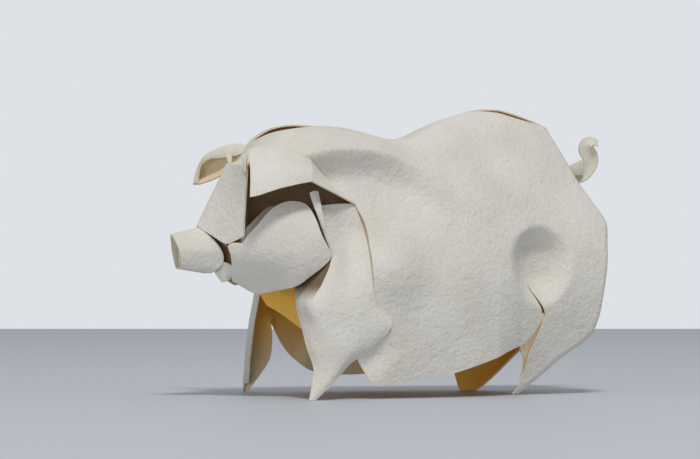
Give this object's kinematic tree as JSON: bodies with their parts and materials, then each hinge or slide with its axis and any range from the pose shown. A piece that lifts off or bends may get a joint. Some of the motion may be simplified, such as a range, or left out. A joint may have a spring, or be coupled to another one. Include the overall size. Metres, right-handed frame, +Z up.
{
  "type": "origami pig",
  "caption": "Standing pig wet-folded from a sheet of heavy textured paper: hollow body open at the belly, pointed feet, folded ears, open snout, curled tail.",
  "frame": {"origin": "on the floor plane, under the middle of the pig's length and width, tail included", "axes": "+Z up, -X the way the snout points, +X towards the tail, +Y towards the pig's right side"},
  "size_m": [0.1261, 0.0567, 0.0789],
  "materials": {
    "ivory_paper": "uncoated heavy ivory paper with a pressed grain"
  },
  "bodies": {
    "root": {"folded_pig": "ivory_paper"}
  },
  "joints": []
}
